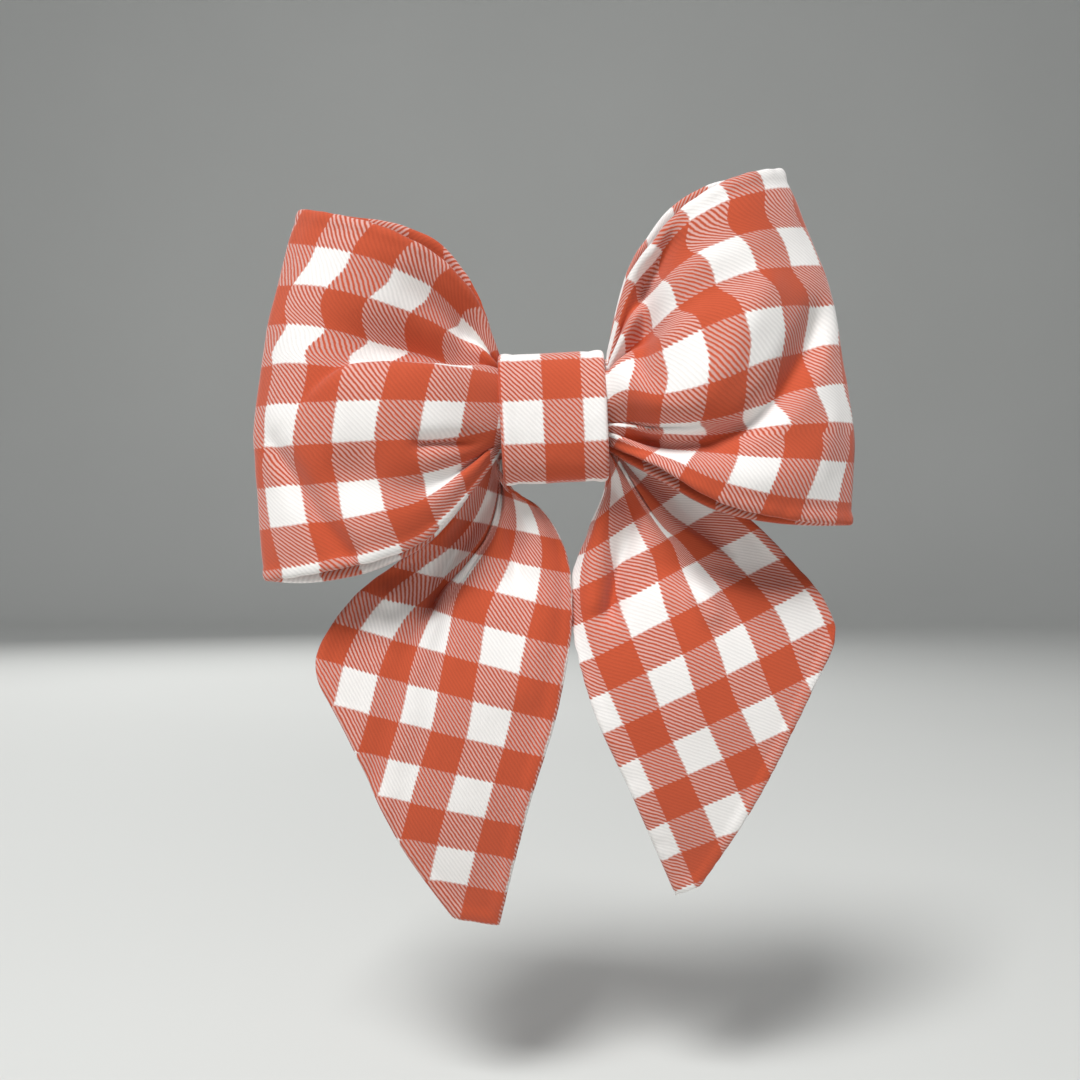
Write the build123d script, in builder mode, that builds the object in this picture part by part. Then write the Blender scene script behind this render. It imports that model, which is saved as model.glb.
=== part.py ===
"""A sailor-style hair bow: two cloth loops, a pair of tails, a wrapped knot and a sprung clip.

Frame, in millimetres: +X to the right as seen from the front, +Y towards the wearer's head,
+Z up. The front of the bow faces -Y. The origin lies in the plane where the clip's closed
jaws grip the hair, straight behind the middle of the knot.
"""

import os
from math import cos, radians, sin

from build123d import *

# ---- driving dimensions -------------------------------------------------------------------

CLOTH = 0.4  # one layer of woven cotton twill
INTERFACING = 0.5  # bonded stiffener between two layers of cloth
PLY_GAP = 0.05  # air between neighbouring plies
THREAD = 0.5  # width of a row of machine stitching
SEAM = 0.8  # the stitching runs this far inside a folded edge
INTERFACING_MARGIN = 3.0  # the stiffener stops this far inside the edge

# clip, from the grip plane towards the bow, then the pad that joins them
CLIP_HALF_LENGTH = 30.0
CLIP_HALF_WIDTH = 4.5
CLIP_CORNER = 2.5
SHEET = 0.6
JAW_Y = 1.0  # each jaw plate's inner face, from the grip plane
TOOTH_HEIGHT = 0.95
TOOTH_PITCH = 2.0
TOOTH_COUNT = 15
TOOTH_START_X = -28.5
RIBBON = 0.35
RIBBON_HALF_WIDTH = 3.7
FELT = 1.2
FELT_LENGTH = 58.0
FELT_HEIGHT = 16.0
GLUE = 0.3
GLUE_LENGTH = 22.0
GLUE_HEIGHT = 14.0

PIVOT_X = 12.0
PIVOT_Y = 1.6
PIN_RADIUS = 0.75
PIN_FIT = 0.02  # in the upper lever's ears, which hold it
PIN_RUNNING_GAP = 0.05  # in the lower lever's ears, which turn on it
PIN_HEAD_RADIUS = 1.4
PIN_HEAD = 0.5
EAR_RADIUS = 1.7
EAR_GAP = 0.1
SPRING_RADIUS = 1.75
SPRING_WIRE = 0.35  # radius
SPRING_TURNS = 2.5
SPRING_PITCH = 0.85
SPRING_REACH = 11.0  # how far each leg's end lies past the pivot
SPRING_LEG_BEND = 3.0  # the lower end's leg leaves the coil and bends this far past the pivot
SPRING_LEG_DIP = 0.2
SPRING_SEAT_GAP = 0.02  # air between a leg's end and the plate it presses on
WEB_Y = PIVOT_Y + SPRING_RADIUS + SPRING_WIRE + 0.05
WEB_START_X = 8.0
WEB_END_X = 16.0
JAW_END_X = 2.5
HANDLE_DROP = 5.2  # how far the handle's end stands off its web
HANDLE_END_X = 30.0
HANDLE_HOLE_X = 26.0
HANDLE_HOLE_LENGTH = 3.0
HANDLE_HOLE_WIDTH = 5.0
HANDLE_HOLE_CORNER = 1.4

# knot band, a flat tube of cloth wrapped once round the gathers
BAND_WIDTH = 24.0
BAND_HEIGHT = 29.5
BAND_DEPTH = 16.0
BAND_CORNER = 4.0
BAND_CLOTH = 0.8  # the tube is folded, so its wall is two layers of cloth
BAND_STAY = 0.6
BAND_STAY_MARGIN = 1.5  # the stay is this much narrower than the band at each side
BAND_TILT = 2.7  # degrees, the band's top leans towards -X
BAND_BACK_Y = -JAW_Y - SHEET - RIBBON - FELT - GLUE
STITCH_COUNT = 6
STITCH_RADIUS = 0.25
STITCH_LENGTH = 2.4
STITCH_Z = 10.6
STITCH_SLANT = 25  # degrees

# gathering thread, wound round the pinched strips inside the band
GATHER_RADIUS = 0.3
GATHER_TURNS = 6
GATHER_PITCH = 0.7
GATHER_INSET = BAND_CLOTH + BAND_STAY + 0.2 + GATHER_RADIUS

# tails, behind the loops
TAIL_PLIES = 2 * CLOTH + INTERFACING + 2 * PLY_GAP
TAIL_TOP_Y = BAND_BACK_Y - GATHER_INSET - GATHER_RADIUS - 0.1 - TAIL_PLIES
TAIL_MID_Y = -6.5
TAIL_TIP_Y = 2.0
TAIL_MID_Z = -62.0
TAIL_TIP_Z = -120.0
TAIL_SLAB_TOP_Z = 5.0  # the hang starts above the core, which the outline cuts
TAIL_CORE_HALF = 13.0
TAIL_CORE_TOP_Z = -1.5
TAIL_CORE_BOTTOM_Z = -11.0
LEFT_NECK_Z = -16.0  # below the band's lower corner, which leans
RIGHT_NECK_Z = -15.2
NECK_MARGIN = 1.2  # where the tails narrow into the knot, their margins narrow to this

# loops, shaped by a closed plan seen from above and an outline seen from the front
CORE_HALF = 12.6  # half the stretch that runs straight through the knot
LOOP_FRONT_Y = BAND_BACK_Y - BAND_DEPTH + GATHER_INSET + GATHER_RADIUS + 0.1
LOOP_BACK_Y = TAIL_TOP_Y - 1.4
PUFF_X = 38.0
FRONT_PUFF_Y = -29.0
BACK_PUFF_Y = -8.2
CREASE_Y = -16.0
CORE_TOP_Z = 11.0
CORE_BOTTOM_Z = -6.0
LEFT_TOP = (-56.7, 47.3)
LEFT_BOTTOM = (-64.6, -36.7)
LEFT_BULGE_X = -66.8
RIGHT_TOP = (51.1, 56.7)
RIGHT_BOTTOM = (66.9, -24.1)
RIGHT_BULGE_X = 64.9

REACH = 150.0  # longer than the bow in any direction, for cutting solids


def save(piece, label):
    """Label a finished piece and write it as its own STEP file."""
    piece.label = label
    export_step(piece, f"parts/{label}.step")


os.makedirs("parts", exist_ok=True)


# ---- loops --------------------------------------------------------------------------------


def crease_x(top, bottom, bulge_x, z):
    """X at height z on the parabola through top and bottom whose middle is at bulge_x."""
    share = (z - bottom[1]) / (top[1] - bottom[1])
    chord = bottom[0] + (top[0] - bottom[0]) * share
    middle = (top[0] + bottom[0]) / 2
    return chord + (bulge_x - middle) * 4 * share * (1 - share)


def loop_plan(z, inset):
    """The closed line of the loop strip at height z, moved inwards by inset."""
    left = crease_x(LEFT_TOP, LEFT_BOTTOM, LEFT_BULGE_X, z) + inset
    right = crease_x(RIGHT_TOP, RIGHT_BOTTOM, RIGHT_BULGE_X, z) - inset
    front = LOOP_FRONT_Y + inset
    back = LOOP_BACK_Y - inset
    front_puff = FRONT_PUFF_Y + inset
    back_puff = BACK_PUFF_Y - inset
    Line((-CORE_HALF, front), (CORE_HALF, front))
    Spline(
        (CORE_HALF, front), (PUFF_X, front_puff), (right, CREASE_Y), tangents=[(1, -0.6), (0.3, 1)]
    )
    Spline(
        (right, CREASE_Y), (PUFF_X, back_puff), (CORE_HALF, back), tangents=[(-0.3, 1), (-1, 0)]
    )
    Line((CORE_HALF, back), (-CORE_HALF, back))
    Spline(
        (-CORE_HALF, back), (-PUFF_X, back_puff), (left, CREASE_Y), tangents=[(-1, 0), (-0.3, -1)]
    )
    Spline(
        (left, CREASE_Y), (-PUFF_X, front_puff), (-CORE_HALF, front), tangents=[(0.3, -1), (1, 0.6)]
    )


def loop_outline(margin):
    """The front outline of both loops, drawn in by margin along its top and bottom edges."""
    m = margin
    far = 78.0  # past the creases, which the plan shapes
    right_top = (RIGHT_TOP[0], RIGHT_TOP[1] - m)
    right_bottom = (RIGHT_BOTTOM[0], RIGHT_BOTTOM[1] + m)
    left_bottom = (LEFT_BOTTOM[0], LEFT_BOTTOM[1] + m)
    left_top = (LEFT_TOP[0], LEFT_TOP[1] - m)
    Spline(
        (CORE_HALF, CORE_TOP_Z - m), (15.8, 28.3 - m), (22.5, 39.4 - m), (34.5, 49.6 - m), right_top
    )
    Polyline(right_top, (far, 64.0 - m), (far, -24.4 + m), right_bottom)
    Spline(
        right_bottom, (50.4, -23.0 + m), (37.0, -19.7 + m), (23.6, -11.8 + m),
        (CORE_HALF, CORE_BOTTOM_Z + m),
    )
    Line((CORE_HALF, CORE_BOTTOM_Z + m), (-CORE_HALF, CORE_BOTTOM_Z + m))
    Spline(
        (-CORE_HALF, CORE_BOTTOM_Z + m), (-18.8, -16.3 + m), (-27.7, -27.5 + m),
        (-38.8, -34.1 + m), left_bottom,
    )
    Polyline(left_bottom, (-far, -37.4 + m), (-far, 52.0 - m), left_top)
    Spline(
        left_top, (-34.4, 40.6 - m), (-23.2, 34.6 - m), (-16.5, 26.0 - m),
        (-CORE_HALF, CORE_TOP_Z - m),
    )
    Line((-CORE_HALF, CORE_TOP_Z - m), (CORE_HALF, CORE_TOP_Z - m))


def loop_solid(inset, margin):
    """Everything inside the strip's line at this inset, between the outline's edges."""
    with BuildPart() as filled:
        for z in (-45.0, -10.0, 25.0, 66.0):
            with BuildSketch(Plane.XY.offset(z)):
                with BuildLine():
                    loop_plan(z, inset)
                make_face()
        loft()
        with BuildSketch(Plane.XZ):
            with BuildLine():
                loop_outline(margin)
            make_face()
        extrude(amount=REACH / 2, both=True, mode=Mode.INTERSECT)
    return filled.part


def loop_ply(inset, thickness, margin, label):
    """One ply of the loop strip: a closed ring of sheet material."""
    whole = loop_solid(inset, margin)
    hollow = loop_solid(inset + thickness, margin - 1)
    with BuildPart() as ply:
        add(whole)
        add(hollow, mode=Mode.SUBTRACT)
    save(ply.part, label)


INNER_PLY = CLOTH + PLY_GAP
LAST_PLY = INNER_PLY + INTERFACING + PLY_GAP

loop_ply(0.0, CLOTH, 0.0, "loop_strip_outer")
loop_ply(INNER_PLY, INTERFACING, INTERFACING_MARGIN, "loop_interfacing")
loop_ply(LAST_PLY, CLOTH, 0.0, "loop_strip_lining")

stitched_solid = loop_solid(INNER_PLY, SEAM)
stitched_hollow = loop_solid(INNER_PLY + INTERFACING, SEAM - 1)
unstitched_middle = loop_solid(INNER_PLY - 1, SEAM + THREAD)
with BuildPart() as loop_seam_thread:
    add(stitched_solid)
    add(stitched_hollow, mode=Mode.SUBTRACT)
    add(unstitched_middle, mode=Mode.SUBTRACT)
save(loop_seam_thread.part, "loop_seam_thread")


# ---- tails --------------------------------------------------------------------------------


def tail_outline(margin):
    """The front outline of the tail strip, drawn in by margin: a core with a tail each side."""
    m = margin
    n = min(margin, NECK_MARGIN)
    half = TAIL_CORE_HALF + n
    left_core = (-half, TAIL_CORE_BOTTOM_Z + n)
    right_core = (half, TAIL_CORE_BOTTOM_Z + n)
    left_neck = (-half, LEFT_NECK_Z)
    right_neck = (half, RIGHT_NECK_Z)
    left_shoulder = (-half, TAIL_CORE_TOP_Z - n)
    right_shoulder = (half, TAIL_CORE_TOP_Z - n)
    left_tip = (-12.8 - m, -119.6 + m)
    left_heel = (-23.6 + m / 2, -115.4 + m)
    right_heel = (35.3 - m / 2, -111.1 + m)
    right_tip = (29.3 + m / 2, -112.3 + m)
    Line(left_core, left_neck)
    Spline(
        left_neck, (-3.0 - m, -20.8 - m / 2), (2.9 - m, -30.0), (4.4 - m, -41.5),
        (1.5 - m, -64.9), (-5.5 - m, -89.1), left_tip,
    )
    Line(left_tip, left_heel)
    left_corner = (-55.0 + m, -60.0)
    Line(left_heel, left_corner)
    Spline(
        left_corner, (-54.3 + m, -53.5), (-48.7 + m, -42.6 - m / 2), (-35.8, -32.1 - m),
        (-24.1, -22.8 - m), left_shoulder,
    )
    Line(left_shoulder, right_shoulder)
    right_corner = (65.4 - m, -51.5)
    Spline(
        right_shoulder, (29.3, -12.4 - m), (43.4, -20.5 - m), (55.1 - m / 2, -32.1 - m),
        (61.6 - m, -40.0), right_corner,
    )
    Polyline(right_corner, right_heel, right_tip)
    Spline(
        right_tip, (18.2 + m, -86.7), (8.6 + m, -64.9), (5.0 + m, -48.5), (5.2 + m, -36.8),
        (8.5 + m, -25.1), right_neck,
    )
    Polyline(right_neck, right_core, left_core)


def tail_slab(inset, thickness, margin):
    """A slab that follows the tail strip's hang, inset from its front, cut to its outline."""
    hang = [
        (TAIL_TOP_Y + inset, TAIL_SLAB_TOP_Z),
        (TAIL_TOP_Y + inset, TAIL_CORE_BOTTOM_Z),
        (TAIL_MID_Y + inset, TAIL_MID_Z),
        (TAIL_TIP_Y + inset, TAIL_TIP_Z - 5),
    ]
    back = [(y + thickness, z) for y, z in reversed(hang)]
    with BuildPart() as slab:
        with BuildSketch(Plane.YZ):
            with BuildLine():
                Spline(*hang)
                Line(hang[-1], back[0])
                Spline(*back)
                Line(back[-1], hang[0])
            make_face()
        extrude(amount=REACH, both=True)
        with BuildSketch(Plane.XZ):
            with BuildLine():
                tail_outline(margin)
            make_face()
        extrude(amount=REACH, both=True, mode=Mode.INTERSECT)
    return slab.part


save(tail_slab(0.0, CLOTH, 0.0), "tail_strip_front")
save(tail_slab(INNER_PLY, INTERFACING, INTERFACING_MARGIN), "tail_interfacing")
save(tail_slab(LAST_PLY, CLOTH, 0.0), "tail_strip_back")

stitched_slab = tail_slab(INNER_PLY, INTERFACING, SEAM)
unstitched_slab = tail_slab(INNER_PLY - 1, INTERFACING + 2, SEAM + THREAD)
with BuildPart() as tail_seam_thread:
    add(stitched_slab)
    add(unstitched_slab, mode=Mode.SUBTRACT)
save(tail_seam_thread.part, "tail_seam_thread")


# ---- knot ---------------------------------------------------------------------------------

lean = radians(BAND_TILT)
band_plane = Plane(
    origin=(0, BAND_BACK_Y - BAND_DEPTH / 2, 0), x_dir=(0, 1, 0), z_dir=(cos(lean), 0, sin(lean))
)


def band_tube(inset, thickness, width, label):
    """A closed tube round the gathers, inset from the band's outer face."""
    with BuildPart() as tube:
        with BuildSketch(band_plane):
            RectangleRounded(BAND_DEPTH - 2 * inset, BAND_HEIGHT - 2 * inset, BAND_CORNER - inset)
            RectangleRounded(
                BAND_DEPTH - 2 * (inset + thickness),
                BAND_HEIGHT - 2 * (inset + thickness),
                BAND_CORNER - inset - thickness,
                mode=Mode.SUBTRACT,
            )
        extrude(amount=width / 2, both=True)
    save(tube.part, label)


band_tube(0.0, BAND_CLOTH, BAND_WIDTH, "knot_band_cover")
band_tube(BAND_CLOTH, BAND_STAY, BAND_WIDTH - 2 * BAND_STAY_MARGIN, "knot_band_stay")

gather_half_depth = BAND_DEPTH / 2 - GATHER_INSET
gather_half_height = BAND_HEIGHT / 2 - GATHER_INSET
with BuildPart() as gather_thread:
    for turn in range(GATHER_TURNS):
        turn_plane = band_plane.offset((turn - (GATHER_TURNS - 1) / 2) * GATHER_PITCH)
        with BuildLine(turn_plane) as winding:
            FilletPolyline(
                (gather_half_depth, -gather_half_height),
                (gather_half_depth, gather_half_height),
                (-gather_half_depth, gather_half_height),
                (-gather_half_depth, -gather_half_height),
                radius=BAND_CORNER - GATHER_INSET,
                close=True,
            )
        with BuildSketch(Plane(origin=winding.wire() @ 0, z_dir=winding.wire() % 0)):
            Circle(GATHER_RADIUS)
        sweep(path=winding.wire())
save(gather_thread.part, "gather_thread")

# Slanted hand stitches lie on the band's back face, across the end of the wrap.
with BuildPart() as band_closing_stitches:
    for index in range(STITCH_COUNT):
        stitch_x = (index - (STITCH_COUNT - 1) / 2) * BAND_WIDTH / (STITCH_COUNT + 0.5)
        slant = Plane(
            origin=(stitch_x, BAND_BACK_Y + STITCH_RADIUS, STITCH_Z),
            z_dir=(sin(radians(STITCH_SLANT)), 0, cos(radians(STITCH_SLANT))),
        )
        with BuildSketch(slant):
            Circle(STITCH_RADIUS)
        extrude(amount=STITCH_LENGTH / 2, both=True)
save(band_closing_stitches.part, "band_closing_stitches")


# ---- pad between knot and clip --------------------------------------------------------------


def pad(front_y, thickness, length, height, corner, label):
    """A flat rounded layer of the stack between the band and the clip."""
    with BuildPart() as layer:
        with BuildSketch(Plane.XZ.offset(-front_y)):
            RectangleRounded(length, height, corner)
        extrude(amount=-thickness)
    save(layer.part, label)


pad(BAND_BACK_Y, GLUE, GLUE_LENGTH, GLUE_HEIGHT, 3, "glue_film")
pad(BAND_BACK_Y + GLUE, FELT, FELT_LENGTH, FELT_HEIGHT, 7.5, "felt_pad")
pad(
    BAND_BACK_Y + GLUE + FELT, RIBBON, 2 * CLIP_HALF_LENGTH - 2, 2 * RIBBON_HALF_WIDTH, 1.5,
    "clip_ribbon",
)


# ---- clip ---------------------------------------------------------------------------------


def teeth(face_y, point_y, first_x):
    """Two rows of triangular teeth, one along each long edge of a jaw plate."""
    root_y = face_y + (face_y - point_y) / 4  # rooted in the plate
    with BuildPart() as rows:
        for edge_z in (-CLIP_HALF_WIDTH, CLIP_HALF_WIDTH - SHEET):
            for index in range(TOOTH_COUNT):
                x = first_x + index * TOOTH_PITCH
                with BuildSketch(Plane.XY.offset(edge_z)):
                    with BuildLine():
                        Polyline(
                            (x - TOOTH_PITCH / 2, face_y), (x - TOOTH_PITCH / 2, root_y),
                            (x + TOOTH_PITCH / 2, root_y), (x + TOOTH_PITCH / 2, face_y),
                            (x, point_y), close=True,
                        )
                    make_face()
                extrude(amount=SHEET)
    return rows.part


def ears(plate_y, inner_z, hole_radius):
    """A pair of round-ended ears from a plate to the pivot, one each side."""
    with BuildPart() as pair:
        for low_z in (inner_z, -inner_z - SHEET):
            with BuildSketch(Plane.XY.offset(low_z)):
                with Locations((PIVOT_X, (plate_y + PIVOT_Y) / 2)):
                    Rectangle(2 * EAR_RADIUS, abs(plate_y - PIVOT_Y))
                with Locations((PIVOT_X, PIVOT_Y)):
                    Circle(EAR_RADIUS)
                    Circle(hole_radius, mode=Mode.SUBTRACT)
            extrude(amount=SHEET)
    return pair.part


upper_ear_z = CLIP_HALF_WIDTH - SHEET
lower_ear_z = upper_ear_z - EAR_GAP - SHEET

upper_teeth = teeth(-JAW_Y, TOOTH_HEIGHT - JAW_Y, TOOTH_START_X)
upper_ears = ears(-JAW_Y - SHEET / 2, upper_ear_z, PIN_RADIUS + PIN_FIT)
with BuildPart() as clip_upper_lever:
    with BuildSketch(Plane.XZ.offset(JAW_Y)):
        RectangleRounded(2 * CLIP_HALF_LENGTH, 2 * CLIP_HALF_WIDTH, CLIP_CORNER)
    extrude(amount=SHEET)
    add(upper_teeth)
    add(upper_ears)
save(clip_upper_lever.part, "clip_upper_lever")


def lower_lever_profile():
    """The lower lever's sheet seen from the side: jaw, step round the spring, then handle."""
    inner = [
        (-CLIP_HALF_LENGTH, JAW_Y), (JAW_END_X, JAW_Y), (WEB_START_X, WEB_Y),
        (WEB_END_X, WEB_Y), (HANDLE_END_X, WEB_Y + HANDLE_DROP),
    ]
    outer = [(x, y + SHEET) for x, y in reversed(inner)]
    Polyline(*inner, *outer, close=True)


lower_teeth = teeth(JAW_Y, JAW_Y - TOOTH_HEIGHT, TOOTH_START_X + TOOTH_PITCH / 2)
lower_ears = ears(WEB_Y + SHEET / 2, lower_ear_z, PIN_RADIUS + PIN_RUNNING_GAP)
with BuildPart() as clip_lower_lever:
    with BuildSketch(Plane.XY):
        with BuildLine():
            lower_lever_profile()
        make_face()
    extrude(amount=CLIP_HALF_WIDTH, both=True)
    with BuildSketch(Plane.XZ):
        RectangleRounded(2 * CLIP_HALF_LENGTH, 2 * CLIP_HALF_WIDTH, CLIP_CORNER)
    extrude(amount=REACH, both=True, mode=Mode.INTERSECT)
    with BuildSketch(Plane.XZ):
        with Locations((HANDLE_HOLE_X, 0)):
            RectangleRounded(HANDLE_HOLE_LENGTH, HANDLE_HOLE_WIDTH, HANDLE_HOLE_CORNER)
    extrude(amount=-REACH, mode=Mode.SUBTRACT)
    add(lower_teeth)
    add(lower_ears)
save(clip_lower_lever.part, "clip_lower_lever")

with BuildPart() as clip_pivot_pin:
    with BuildSketch(Plane.XY):
        with Locations((PIVOT_X, PIVOT_Y)):
            Circle(PIN_RADIUS)
    extrude(amount=CLIP_HALF_WIDTH + PIN_HEAD, both=True)
    for head_z in (CLIP_HALF_WIDTH + PIN_RUNNING_GAP, -CLIP_HALF_WIDTH - PIN_RUNNING_GAP - PIN_HEAD):
        with BuildSketch(Plane.XY.offset(head_z)):
            with Locations((PIVOT_X, PIVOT_Y)):
                Circle(PIN_HEAD_RADIUS)
        extrude(amount=PIN_HEAD)
save(clip_pivot_pin.part, "clip_pivot_pin")

# The spring's legs push the two handles apart, which closes the jaws.
coil_height = SPRING_TURNS * SPRING_PITCH
coil_plane = Plane(
    origin=(PIVOT_X, PIVOT_Y, -coil_height / 2), x_dir=(0, -1, 0), z_dir=(0, 0, 1)
)
leg_rise = HANDLE_DROP / (HANDLE_END_X - WEB_END_X)
leg_start_y = PIVOT_Y + SPRING_RADIUS
leg_end_x = PIVOT_X + SPRING_REACH
leg_paths = [
    [
        (PIVOT_X, PIVOT_Y - SPRING_RADIUS, -coil_height / 2),
        (PIVOT_X + SPRING_LEG_BEND, PIVOT_Y - SPRING_RADIUS - SPRING_LEG_DIP, -coil_height / 2),
        (leg_end_x, -JAW_Y + SPRING_WIRE + SPRING_SEAT_GAP, -coil_height / 2),
    ],
    [
        (PIVOT_X, leg_start_y, coil_height / 2),
        (WEB_END_X, leg_start_y, coil_height / 2),
        (leg_end_x, leg_start_y + leg_rise * (leg_end_x - WEB_END_X), coil_height / 2),
    ],
]
with BuildPart() as clip_spring:
    with BuildLine(coil_plane) as coil:
        Helix(SPRING_PITCH, coil_height, SPRING_RADIUS, lefthand=True)
    with BuildSketch(Plane(origin=coil.wire() @ 0, z_dir=coil.wire() % 0)):
        Circle(SPRING_WIRE)
    sweep(path=coil.wire(), is_frenet=True)
    for points in leg_paths:
        with BuildLine() as leg:
            Polyline(*points)
        with BuildSketch(Plane(origin=leg.wire() @ 0, z_dir=leg.wire() % 0)):
            Circle(SPRING_WIRE)
        sweep(path=leg.wire(), transition=Transition.ROUND)
save(clip_spring.part, "clip_spring")
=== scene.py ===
"""The looks of a sailor-style gingham hair bow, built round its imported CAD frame.

Shapes are worked out in millimetres, in the CAD's own frame, and become metres in new_mesh.
"""

from math import cos, hypot, pi, radians, sin

import bpy
import numpy as np
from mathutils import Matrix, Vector, noise


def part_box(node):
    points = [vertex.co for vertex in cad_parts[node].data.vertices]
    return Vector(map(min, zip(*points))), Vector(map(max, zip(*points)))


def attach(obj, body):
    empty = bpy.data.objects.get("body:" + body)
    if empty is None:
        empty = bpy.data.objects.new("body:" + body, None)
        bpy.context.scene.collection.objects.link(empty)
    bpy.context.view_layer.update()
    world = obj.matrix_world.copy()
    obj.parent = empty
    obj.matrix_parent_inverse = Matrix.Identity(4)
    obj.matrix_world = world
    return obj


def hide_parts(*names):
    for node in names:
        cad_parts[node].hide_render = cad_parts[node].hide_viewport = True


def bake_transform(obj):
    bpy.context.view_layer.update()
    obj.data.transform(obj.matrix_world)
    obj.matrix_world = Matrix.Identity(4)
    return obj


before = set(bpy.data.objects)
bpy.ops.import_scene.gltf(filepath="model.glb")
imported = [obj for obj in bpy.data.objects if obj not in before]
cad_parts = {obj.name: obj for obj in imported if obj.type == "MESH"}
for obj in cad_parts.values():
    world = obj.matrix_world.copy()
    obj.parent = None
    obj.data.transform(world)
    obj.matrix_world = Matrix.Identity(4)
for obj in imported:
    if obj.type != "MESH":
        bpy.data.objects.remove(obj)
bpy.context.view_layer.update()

MM = 0.001
CHECK = 9.525  # one check of the cloth, 3/8 inch
STRIPE = CHECK / 8  # one diagonal stripe of the twill, measured across the cloth
CLOTH_MAP = "cloth"  # the UV map that holds each point's place on the woven cloth, in checks
HALF_PLY = 0.7  # from the middle of a strip's three plies to its outer face
FACING = 0.3  # one cloth ply as modelled
STIFFENER = 0.25
STITCH_RADIUS = 0.16


def node_box(node):
    """A CAD node's lowest and highest corners, in millimetres."""
    low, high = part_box(node)
    return np.array(low) / MM, np.array(high) / MM


# ---- curves and grids --------------------------------------------------------------------------


def through(knots, values, at):
    """A smooth curve through values at knots, read at every place in at."""
    knots = np.asarray(knots, float)
    values = np.asarray(values, float)
    flat = values.ndim == 1
    if flat:
        values = values[:, None]
    steps = np.diff(knots)[:, None]
    chords = np.diff(values, axis=0) / steps
    slopes = np.empty_like(values)
    slopes[1:-1] = (chords[:-1] * steps[1:] + chords[1:] * steps[:-1]) / (steps[1:] + steps[:-1])
    slopes[0] = 1.5 * chords[0] - 0.5 * slopes[1]
    slopes[-1] = 1.5 * chords[-1] - 0.5 * slopes[-2]
    at = np.asarray(at, float)
    span = np.clip(np.searchsorted(knots, at) - 1, 0, len(knots) - 2)
    width = steps[span]
    share = ((at - knots[span])[..., None]) / width
    a, b = values[span], values[span + 1]
    m, n = slopes[span] * width, slopes[span + 1] * width
    square, cube = share**2, share**3
    result = (
        (2 * cube - 3 * square + 1) * a + (cube - 2 * square + share) * m
        + (3 * square - 2 * cube) * b + (cube - square) * n
    )
    return result[..., 0] if flat else result


def by_length(points, at):
    """A smooth curve through points, read at lengths along it given as shares of the whole."""
    points = np.asarray(points, float)
    gaps = np.linalg.norm(np.diff(points, axis=0), axis=1)
    knots = np.concatenate(([0], np.cumsum(gaps)))
    return through(knots / knots[-1], points, at)


def ease(x):
    """Rises smoothly from 0 to 1 as x does, flat outside."""
    x = np.clip(x, 0, 1)
    return x * x * (3 - 2 * x)


def mix(a, b, share):
    """a where share is 0, b where it is 1."""
    return a + (b - a) * share


EDGE_STEPS = (0, 0.12, 0.3, 0.55, 0.85, 1.25, 1.8, 2.6, 3.5, 4.6)
SEAM_COLUMN = 4  # the edge step that a seam's thread follows
INSIDE_SEAMS = slice(8, -8)  # a stiffener's rows or columns start at the edge step past the seam


def edge_spaced(length, step, margin=6.0):
    """Places from 0 to length, crowded near both ends, where a seam rolls over."""
    near = np.array([*EDGE_STEPS, margin])
    count = max(4, round((length - 2 * margin) / step))
    middle = np.linspace(margin, length - margin, count + 1)[1:-1]
    return np.concatenate((near, middle, length - near[::-1]))


def normals(points):
    """Unit normals of a grid of points."""
    along = np.gradient(points, axis=0)
    across = np.gradient(points, axis=1)
    cross = np.cross(along, across)
    return cross / np.maximum(np.linalg.norm(cross, axis=-1, keepdims=True), 1e-9)


def ripple(points, size, seed):
    """Smooth noise from about -1 to 1 at each point, with bumps about size across."""
    shape = points.shape[:-1]
    place = Vector((seed * 17.3, seed * 5.1, seed * 9.7))
    values = [noise.noise(Vector(p) / size + place) for p in points.reshape(-1, 3)]
    return np.array(values).reshape(shape) * 1.6


def new_mesh(name, points, uv=None, closed=False, flip=False):
    """A smooth mesh over a grid of points in millimetres, with the cloth's own map."""
    rows, columns = points.shape[:2]
    corner = np.arange(rows * columns).reshape(rows, columns)
    if closed:
        corner = np.vstack((corner, corner[:1]))
    quads = np.stack(
        (corner[:-1, :-1], corner[1:, :-1], corner[1:, 1:], corner[:-1, 1:]), axis=-1
    ).reshape(-1, 4)
    if flip:
        quads = quads[:, ::-1]
    mesh = bpy.data.meshes.new(name)
    mesh.from_pydata((points.reshape(-1, 3) * MM).tolist(), [], quads.tolist())
    mesh.shade_smooth()
    if uv is not None:
        layer = mesh.uv_layers.new(name=CLOTH_MAP)
        layer.data.foreach_set("uv", uv.reshape(-1, 2)[quads.ravel()].ravel())
    piece = bpy.data.objects.new(name, mesh)
    bpy.context.scene.collection.objects.link(piece)
    return piece


def thicken(piece, thickness):
    """Gives an open sheet its thickness, inwards from the face that was modelled."""
    solidify = piece.modifiers.new("thickness", "SOLIDIFY")
    solidify.thickness = thickness * MM
    solidify.offset = -1
    solidify.use_even_offset = False


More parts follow.
